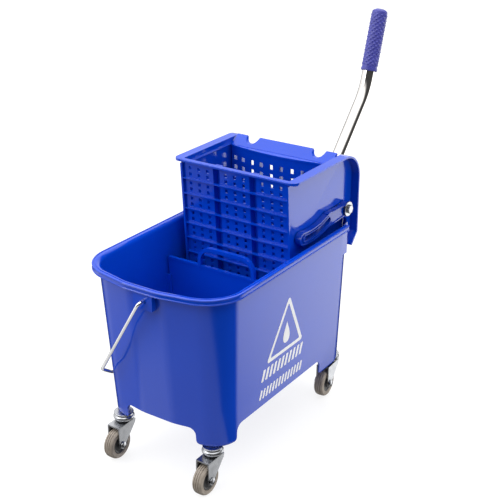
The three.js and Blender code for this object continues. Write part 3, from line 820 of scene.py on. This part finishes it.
def build_press():
    steps = 40
    bowed = [plate_front(mix(-PLATE_HALF, PLATE_HALF, k / steps), LEDGE_Z)[:2] for k in range(steps + 1)]
    ledge = prism("z", bowed + [(PLATE_HALF, 353), (-PLATE_HALF, 353)], LEDGE_Z - 3, LEDGE_Z)
    bead = prism("z", [(x, y - 1.2) for x, y in bowed] + [(x, y + 1.5) for x, y in bowed[::-1]],
                 LEDGE_Z - 2.5, LEDGE_Z + 0.6)
    strip = prism("x", [(349, 433), (352, 433), (371, 447), (370, 450), (368, 450), (349, 436.5)],
                  -PLATE_HALF, PLATE_HALF)
    strip = cut(strip, *both(rod("y", 13, 340, 385, (65, 453), 48)))
    barrel = rod("x", 8, -PLATE_HALF, PLATE_HALF, HINGE, 40)
    foot = prism("x", [(348, 214), (353, 214), (364, 204), (356, 200), (350, 204)], -PLATE_HALF, PLATE_HALF)
    places = (-95, -46, 0, 40, 94)
    rib_outline = rounded([(349, 434), (362, 434), (391, 366), (391, 344), (366, 204), (353, 208)],
                          [1, 6, 10, 12, 4, 1], 8)
    ribs = gather([prism("x", rib_outline, x - 1.5, x + 1.5) for x in places])
    bosses = gather([rod("x", 12, x - 2.6, x + 2.6, SHAFT, 40) for x in places])
    whole = join(press_sheet(), ledge, bead, strip, ribs, bosses, barrel, foot)
    whole = cut(whole, rod("x", 4.3, -120, 120, HINGE), rod("x", 7.3, -120, 120, SHAFT))
    finish_piece(whole, "press_panel", "press", BLUE, "wringer_blue", ["press_plate"], 0.6, 2)


build_press()

# ---------------------------------------------------------------- lever
LEVER_X, TUBE_R, GRIP_R = 60.0, 11.0, 14.5
BEND, GRIP_END = Vector((LEVER_X, 527, 513)), Vector((LEVER_X, 571, 647))
LOWER_RUN = (BEND - Vector((LEVER_X, *SHAFT))).normalized()
UPPER_RUN = (GRIP_END - BEND).normalized()


def along(distance):
    return Vector((LEVER_X, *SHAFT)) + LOWER_RUN * distance


def straight(start, end, radius, sides=40):
    return sweep([start, end], lambda distance, turn: radius, sides)


def build_lever():
    ring = rod("x", 13, LEVER_X - 12, LEVER_X + 12, SHAFT, 48)
    sleeve = straight(along(6), along(62), TUBE_R + 2.7, 48)
    socket = cut(join(ring, sleeve), straight(along(18), along(80), TUBE_R + 0.3, 48),
                 rod("x", 7.3, 0, 120, SHAFT, 40))
    finish_piece(socket, "lever_foot", "press", NAVY, "arm_blue", ["lever_socket"], 1.2, 3)

    route = bend_route([along(18.4), BEND, BEND + UPPER_RUN * 130], 24, 16)
    finish_piece(sweep(route, lambda distance, turn: TUBE_R, 48), "lever_bar", "press", CHROME, "bright_tube",
                 ["lever_tube"], 0.4)

    start = BEND + UPPER_RUN * 35
    length = (GRIP_END - start).length
    steps = 220

    def grip_radius(distance, turn):
        """Collar, eight rows of raised pads set in a quincunx, and a domed end."""
        pads = 0.0
        if 9 < distance < length - 8:
            row = math.cos(2 * math.pi * distance / 7.6)
            pads = max(0.0, row * math.cos(10 * turn)) ** 0.6
        collar = 0.9 if distance < 5 else 0.0
        left = length - distance
        dome = (1 - min(1.0, left / 6.0)) ** 2.4 * 7.0
        foot = (1 - min(1.0, distance / 1.5)) ** 2 * 1.2
        return GRIP_R - 1.3 + 1.1 * pads + collar - dome - foot

    points = [start + UPPER_RUN * length * k / steps for k in range(steps + 1)]
    grip = sweep(points, grip_radius, 120)
    bore = straight(start - UPPER_RUN * 9, BEND + UPPER_RUN * 130.5, TUBE_R + 0.3, 48)
    finish_piece(cut(grip, bore), "hand_grip", "press", GRIP, "grip_rubber", ["lever_grip"], 0, 0, 60)


def build_shaft():
    end = 114.6
    shaft = cut(rod("x", 7, -end, end, SHAFT, 40), *both(rod("x", 4.3, 104, 120, SHAFT, 32)))
    finish_piece(shaft, "upper_shaft", "press", ZINC, "zinc_steel", ["pivot_shaft"], 0.5)
    washer = lathe("x", [(4.3, end + 0.5), (12.1, end + 0.5), (12.5, end + 0.9), (12.5, end + 2.0),
                         (12.1, end + 2.4), (4.3, end + 2.4)], SHAFT, 64)
    bolt = join(rod("x", 4, 105, 119, SHAFT, 32), prism("x", circle(*SHAFT, 7.5, 6), end + 2.7, 121))
    for side, disc, screw in zip(("right", "left"), both(washer), both(bolt)):
        finish_piece(disc, f"{side}_shaft_washer", "press", ZINC, "zinc_steel", [f"{side}_end_washer"], 0)
        finish_piece(screw, f"{side}_shaft_bolt", "press", ZINC, "zinc_steel", [f"{side}_end_bolt"], 0.7, 3)


build_lever()
build_shaft()


# ---------------------------------------------------------------- guide arms
def build_arms():
    """The slotted arms: the slot follows the path of the fixed pin, inside a slightly raised rim."""
    in_x, out_x, sunk = 104.6, 114.6, 1.6
    path = (PIN[0] + SHAFT[0] - HINGE[0], PIN[1] + SHAFT[1] - HINGE[1])
    neck = [(316, 341), (386, 345), (386, 363), (316, 364.5)]
    inner_neck = [(316, 342.6), (388, 346.6), (388, 361.4), (316, 362.9)]

    def blade(half, neck_outline, radius, x0):
        body = prism("x", arc_outline(half, path, 0.03, -1), x0, out_x)
        return join(body, prism("x", neck_outline, x0, out_x), rod("x", radius, x0, out_x, SHAFT, 48))

    arm = blade(10.8, neck, 13, in_x)
    pocket = blade(9.2, inner_neck, 11.4, out_x - sunk)
    pocket.data.transform(Matrix.Translation((0.01, 0, 0)))
    lip = cut(prism("x", arc_outline(6.6, path, 0, -1), out_x - 2.4, out_x - 0.2),
              prism("x", arc_outline(5, path, 0, -1), 90, 130))
    arm = join(cut(arm, pocket), lip)
    arm = cut(arm, prism("x", arc_outline(5, path, 0, -1), 90, 130), rod("x", 7.3, 90, 130, SHAFT, 40))
    for side, solid in zip(("right", "left"), both(arm)):
        finish_piece(solid, f"{side}_slide_arm", f"{side}_arm", NAVY, "arm_blue", [f"{side}_guide_arm"],
                     0.6, 3)


build_arms()

# ---------------------------------------------------------------- floor, lights
def area_light(name, place, aim, size, power):
    light = bpy.data.lights.new(name, "AREA")
    light.shape = "RECTANGLE"
    light.size = light.size_y = size
    light.energy = power
    lamp = bpy.data.objects.new(name, light)
    lamp.location = place
    lamp.rotation_euler = (Vector(aim) - Vector(place)).to_track_quat("-Z", "Y").to_euler()
    bpy.context.scene.collection.objects.link(lamp)
    return lamp


floor_mesh = bpy.data.meshes.new("floor")
reach = 60
floor_mesh.from_pydata([(-reach, -reach, 0), (reach, -reach, 0), (reach, reach, 0), (-reach, reach, 0)],
                       [], [(0, 1, 2, 3)])
floor = bpy.data.objects.new("floor", floor_mesh)
bpy.context.scene.collection.objects.link(floor)
floor_material, floor_tree, floor_surface = shader("pale_floor", Roughness=0.7)
floor_surface.inputs["Emission Color"].default_value = (1, 1, 1, 1)
floor_surface.inputs["Emission Strength"].default_value = 0.80
floor_tree.links.new(ramp(floor_tree, noise(floor_tree, 3), (0.20, 0.20, 0.20), (0.22, 0.22, 0.22)),
                     floor_surface.inputs["Base Color"])
floor_mesh.materials.append(floor_material)
floor.visible_glossy = False
floor.visible_diffuse = False

# The studio's soft boxes: direction, outer and inner half angle in degrees, brightness. All else is AMBIENT.
AMBIENT = 0.06
SOFT_BOXES = (
    ((0.0, 0.0, 1.0), 66, 33, 2.2),
    ((0.0, -0.174, -0.985), 49, 46.5, 0.62),
    ((-0.95, -0.25, 0.20), 50, 25, 1.1),
    ((0.46, 0.86, -0.21), 31, 6, 2.4),
    ((-0.83, -0.39, -0.40), 42, 12, 0.44),
    ((-0.51, 0.76, 0.40), 35, 20, 0.9),
)


def studio_world():
    world = bpy.data.worlds.new("studio")
    world.use_nodes = True
    tree = world.node_tree
    direction = tree.nodes.new("ShaderNodeTexCoord").outputs["Generated"]
    total = None
    for aim, outer, inner, brightness in SOFT_BOXES:
        facing = tree.nodes.new("ShaderNodeVectorMath")
        facing.operation = "DOT_PRODUCT"
        facing.inputs[1].default_value = Vector(aim).normalized()
        tree.links.new(direction, facing.inputs[0])
        fade = tree.nodes.new("ShaderNodeMapRange")
        fade.interpolation_type = "SMOOTHSTEP"
        fade.inputs["From Min"].default_value = math.cos(math.radians(outer))
        fade.inputs["From Max"].default_value = math.cos(math.radians(inner))
        fade.inputs["To Max"].default_value = brightness
        tree.links.new(facing.outputs["Value"], fade.inputs["Value"])
        add = tree.nodes.new("ShaderNodeMath")
        add.inputs[1].default_value = AMBIENT
        if total:
            tree.links.new(total, add.inputs[1])
        tree.links.new(fade.outputs["Result"], add.inputs[0])
        total = add.outputs["Value"]
    background = tree.nodes["Background"]
    background.inputs["Color"].default_value = (1, 1, 1, 1)
    tree.links.new(total, background.inputs["Strength"])
    bpy.context.scene.world = world


studio_world()
bpy.context.scene.view_settings.view_transform = "Standard"
area_light("key", (-1.3, -2.1, 1.4), (0, 0, 0.2), 1.6, 24)
area_light("fill", (2.5, 0.2, 0.5), (0, 0, 0.2), 1.4, 24).visible_glossy = False
